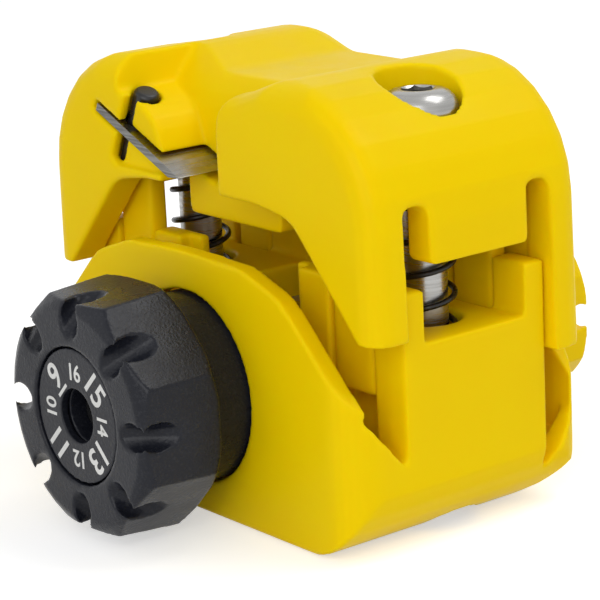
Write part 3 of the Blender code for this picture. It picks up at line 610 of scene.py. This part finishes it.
class STRIPPER_OT_dial(PieceOperator, bpy.types.Operator):
    """Make the dial plate and its figures"""

    bl_idname = "stripper.dial"
    bl_label = "Dial"

    first = 9
    places = 8
    first_angle = 135.0

    def execute(self, context):
        """Set the figures round the plate, tops outward."""
        sizes = settings()[1]
        plate = rounded("dial_plate", sizes.fine_grid, passes=2, kept=0.4)
        add_piece("dial_plate_moulding", plate, "dial", "knob black", "black_plastic", "dial_plate")
        low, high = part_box("dial_plate")
        middle = (low + high) / 2
        face = low.y
        for index in range(self.places):
            number = self.first + index
            height = sizes.figure_large if number % 2 else sizes.figure_small
            angle = math.radians(self.first_angle + 360.0 / self.places * index)
            mesh = figure_mesh(str(number), height, sizes.figure_lift, number == self.first)
            upright = Matrix.Rotation(math.radians(90), 4, "X")
            turn = Matrix.Rotation(math.pi / 2 - angle, 4, "Y")
            out = Matrix.Translation((0, sizes.figure_ring, 0))
            mesh.transform(Matrix.Translation((middle.x, face, middle.z)) @ turn @ upright @ out)
            add_piece(f"figure_{number}", mesh, "dial", "figure paint", "black_plastic")
        return {"FINISHED"}


class STRIPPER_OT_guide_screws(PieceOperator, bpy.types.Operator):
    """Make the two guide screws with their button heads"""

    bl_idname = "stripper.guide_screws"
    bl_label = "Guide screws"

    def execute(self, context):
        """Turn each screw and cut its hexagon."""
        sizes = settings()[1]
        for side in ("left", "right"):
            node = f"guide_screw_{side}"
            low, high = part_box(node)
            centre = (low + high) / 2
            mesh = self.screw(sizes, low.z, high.z)
            mesh.transform(Matrix.Translation((centre.x, centre.y, 0.0)))
            add_piece(node + "_turned", mesh, "base", "turned steel", "bright_steel", node)
        return {"FINISHED"}

    def screw(self, sizes, bottom, top):
        """One screw about the Z axis, with a hexagon socket in its head."""
        seat = top - sizes.screw_head_height
        flat = 2.5 * MM
        rim = 0.45 * MM
        edge = 0.15 * MM
        neck = 0.2 * MM
        chamfer = 0.5 * MM
        arc_steps = 10
        profile = [(0.0, top), (flat, top)]
        for step in range(1, arc_steps + 1):
            angle = math.pi / 2 * step / arc_steps
            radius = flat + (sizes.screw_head - flat) * math.sin(angle)
            profile.append((radius, seat + rim + (top - seat - rim) * math.cos(angle)))
        shank = sizes.screw_shank
        profile += [
            (sizes.screw_head, seat + edge),
            (sizes.screw_head - edge, seat),
            (shank + neck, seat),
            (shank, seat - neck),
            (shank, bottom + chamfer),
            (shank - chamfer, bottom),
            (0.0, bottom),
        ]
        head = bpy.data.objects.new("screw_work", lathe(profile, steps=72))
        corner = sizes.screw_key / math.sqrt(3)
        socket_depth = 2.0 * MM
        sink = 0.35 * MM
        sink_height = 0.6 * MM
        edit = bmesh.new()
        bmesh.ops.create_cone(
            edit,
            cap_ends=True,
            segments=6,
            radius1=corner,
            radius2=corner,
            depth=2 * socket_depth,
            matrix=Matrix.Translation((0, 0, top)),
        )
        bmesh.ops.create_cone(
            edit,
            cap_ends=True,
            segments=32,
            radius1=sizes.screw_key / 2,
            radius2=corner + sink,
            depth=sink_height,
            matrix=Matrix.Translation((0, 0, top)),
        )
        mesh = bpy.data.meshes.new("socket")
        edit.to_mesh(mesh)
        edit.free()
        tool = bpy.data.objects.new("socket_work", mesh)
        for obj in (head, tool):
            bpy.context.scene.collection.objects.link(obj)
        cut = head.modifiers.new("socket", "BOOLEAN")
        cut.operation = "DIFFERENCE"
        cut.solver = "EXACT"
        cut.use_self = True
        cut.object = tool
        made = baked(head)
        bpy.data.objects.remove(tool)
        made.set_sharp_from_angle(angle=math.radians(30))
        return made


class STRIPPER_OT_springs(PieceOperator, bpy.types.Operator):
    """Make the two return springs, wound at the length of the CAD springs"""

    bl_idname = "stripper.springs"
    bl_label = "Springs"

    turns = 6.5

    def execute(self, context):
        """Wind each spring between the ends of its CAD node."""
        sizes = settings()[1]
        for side in ("left", "right"):
            node = f"spring_{side}"
            low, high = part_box(node)
            centre = (low + high) / 2
            mesh = coil_mesh(sizes.spring_radius, sizes.spring_wire, low.z, high.z, self.turns)
            mesh.transform(Matrix.Translation((centre.x, centre.y, 0.0)))
            piece = add_piece(node + "_coil", mesh, "base", "blackened steel", "black_steel", node)
            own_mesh(piece)
        return {"FINISHED"}


class STRIPPER_OT_blade(PieceOperator, bpy.types.Operator):
    """Make the blade and the pin that clamps it"""

    bl_idname = "stripper.blade"
    bl_label = "Blade"

    def execute(self, context):
        """Break the edges of the ground blade, darken its sheared ends and round the clamp pin."""
        work = bpy.data.objects.new("blade_work", node_mesh("blade"))
        bpy.context.scene.collection.objects.link(work)
        edge = work.modifiers.new("edge", "BEVEL")
        edge.width = 0.05 * MM
        edge.segments = 2
        blade = add_piece("blade_ground", baked(work), "head", "ground steel", "bright_steel", "blade")
        blade.data.materials.append(finish("sheared steel"))
        for face in blade.data.polygons:
            face.material_index = int(abs(face.normal.y) > 0.9)
        pin = rounded("clamp_pin", settings()[1].fine_grid, passes=3, kept=0.5)
        add_piece("clamp_pin_turned", pin, "head", "blackened steel", "black_steel", "clamp_pin")
        return {"FINISHED"}


class STRIPPER_OT_works(PieceOperator, bpy.types.Operator):
    """Finish the shaft, drum, index wheel, detent, nuts and knob screws inside"""

    bl_idname = "stripper.works"
    bl_label = "Inner works"

    def execute(self, context):
        """Round each inner part."""
        grid = settings()[1].fine_grid
        parts = (
            ("shaft", "dial", "turned steel", "bright_steel"),
            ("support_drum", "dial", "turned steel", "bright_steel"),
            ("index_wheel", "dial", "plated brass", "brass"),
            ("front_knob_screw", "dial", "blackened steel", "black_steel"),
            ("rear_knob_screw", "dial", "blackened steel", "black_steel"),
            ("nut_left", "base", "plated brass", "brass"),
            ("nut_right", "base", "plated brass", "brass"),
            ("detent_ball", "base", "turned steel", "bright_steel"),
            ("detent_plug", "base", "blackened steel", "black_steel"),
            ("detent_spring", "base", "blackened steel", "black_steel"),
        )
        for node, body, finish_name, slot in parts:
            mesh = rounded(node, grid, passes=2, kept=0.35)
            add_piece(node + "_part", mesh, body, finish_name, slot, node)
        return {"FINISHED"}


class STRIPPER_OT_stage(bpy.types.Operator):
    """Set the floor, the soft lamps and the camera"""

    bl_idname = "stripper.stage"
    bl_label = "Stage"

    def execute(self, context):
        """Make the stage."""
        stage = settings()[2]
        self.floor(stage)
        self.lamps()
        self.world(stage)
        camera = bpy.data.cameras.new("camera")
        camera.lens = stage.lens
        camera.sensor_width = SENSOR_WIDTH
        holder = bpy.data.objects.new("camera", camera)
        holder.location = stage.camera
        holder.rotation_euler = stage.tilt
        bpy.context.scene.collection.objects.link(holder)
        bpy.context.scene.camera = holder
        bpy.context.scene.view_settings.view_transform = "Standard"
        return {"FINISHED"}

    def floor(self, stage):
        """A pale floor that keeps the object's shadow."""
        edit = bmesh.new()
        bmesh.ops.create_grid(edit, x_segments=1, y_segments=1, size=FLOOR_HALF_SIZE)
        mesh = bpy.data.meshes.new("floor")
        edit.to_mesh(mesh)
        edit.free()
        floor = bpy.data.objects.new("floor", mesh)
        floor.location.z = -FLOOR_CLEARANCE
        bpy.context.scene.collection.objects.link(floor)
        made, tree, shader = start_material("floor")
        mesh.materials.append(made)
        shader.inputs["Base Color"].default_value = (*stage.floor, 1.0)
        shader.inputs["Roughness"].default_value = 0.9
        shader.inputs["Specular IOR Level"].default_value = 0.1
        shader.inputs["Emission Color"].default_value = (1.0, 1.0, 1.0, 1.0)
        glow = math_node(tree, "MULTIPLY", self.seen(tree), stage.glow)
        link(tree, glow, shader.inputs["Emission Strength"])

    def seen(self, tree):
        """1 for rays from the camera, from gloss and through glass, or else 0."""
        path = tree.nodes.new("ShaderNodeLightPath")
        either = math_node(tree, "MAXIMUM", path.outputs["Is Camera Ray"], path.outputs["Is Glossy Ray"])
        return math_node(tree, "MAXIMUM", either, path.outputs["Is Transmission Ray"])

    def lamps(self):
        """Soft boxes: overhead, in front, to the right and to the left."""
        for name, place, size, power in (
            ("overhead", (0.23, 0.31, 0.7), 0.4, 2.0),
            ("front", (0.42, -0.52, 0.36), 0.5, 1.9),
            ("right", (0.75, -0.05, 0.35), 0.6, 0.2),
            ("left", (-0.3, -0.75, 0.4), 0.7, 0.7),
        ):
            lamp = bpy.data.lights.new(name, "AREA")
            lamp.shape = "SQUARE"
            lamp.size = size
            lamp.energy = power
            holder = bpy.data.objects.new(name, lamp)
            holder.location = place
            aim = Vector(LAMP_AIM) - holder.location
            holder.rotation_euler = aim.to_track_quat("-Z", "Y").to_euler()
            bpy.context.scene.collection.objects.link(holder)

    def world(self, stage):
        """Even light from all round, white where the camera, gloss or glass sees it."""
        world = bpy.data.worlds.new("studio")
        bpy.context.scene.world = world
        world.use_nodes = True
        tree = world.node_tree
        back = tree.nodes["Background"]
        back.inputs["Color"].default_value = (1.0, 1.0, 1.0, 1.0)
        strength = spread(tree, self.seen(tree), 0.0, 1.0, stage.fill, 1.0)
        link(tree, strength, back.inputs["Strength"])


OPERATORS = (
    STRIPPER_OT_shells,
    STRIPPER_OT_knobs,
    STRIPPER_OT_dial,
    STRIPPER_OT_guide_screws,
    STRIPPER_OT_springs,
    STRIPPER_OT_blade,
    STRIPPER_OT_works,
    STRIPPER_OT_stage,
)


class STRIPPER_PT_panel(bpy.types.Panel):
    """Panel with the pieces of the stripper"""

    bl_label = "Wire stripper"
    bl_idname = "STRIPPER_PT_panel"
    bl_space_type = "VIEW_3D"
    bl_region_type = "UI"
    bl_category = PANEL_TAB

    def draw(self, context):
        """List the operators, then the settings."""
        for operator in OPERATORS:
            self.layout.operator(operator.bl_idname)
        for settings_group in settings():
            for prop in settings_group.bl_rna.properties:
                if prop.identifier not in {"rna_type", "name"}:
                    self.layout.prop(settings_group, prop.identifier)


GROUPS = (StripperFinishes, StripperSizes, StripperStage)
CLASSES = (*GROUPS, *OPERATORS, STRIPPER_PT_panel)


def register():
    """Register the classes and the settings on the scene."""
    for cls in CLASSES:
        bpy.utils.register_class(cls)
    bpy.types.Scene.stripper_finishes = bpy.props.PointerProperty(type=StripperFinishes)
    bpy.types.Scene.stripper_sizes = bpy.props.PointerProperty(type=StripperSizes)
    bpy.types.Scene.stripper_stage = bpy.props.PointerProperty(type=StripperStage)


def unregister():
    """Take the settings and the classes away again."""
    del bpy.types.Scene.stripper_stage
    del bpy.types.Scene.stripper_sizes
    del bpy.types.Scene.stripper_finishes
    for cls in reversed(CLASSES):
        bpy.utils.unregister_class(cls)


def main():
    """Build every piece and the stage."""
    register()
    for operator in OPERATORS:
        _, name = operator.bl_idname.split(".")
        getattr(bpy.ops.stripper, name)()
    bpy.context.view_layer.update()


if __name__ == "__main__":
    main()
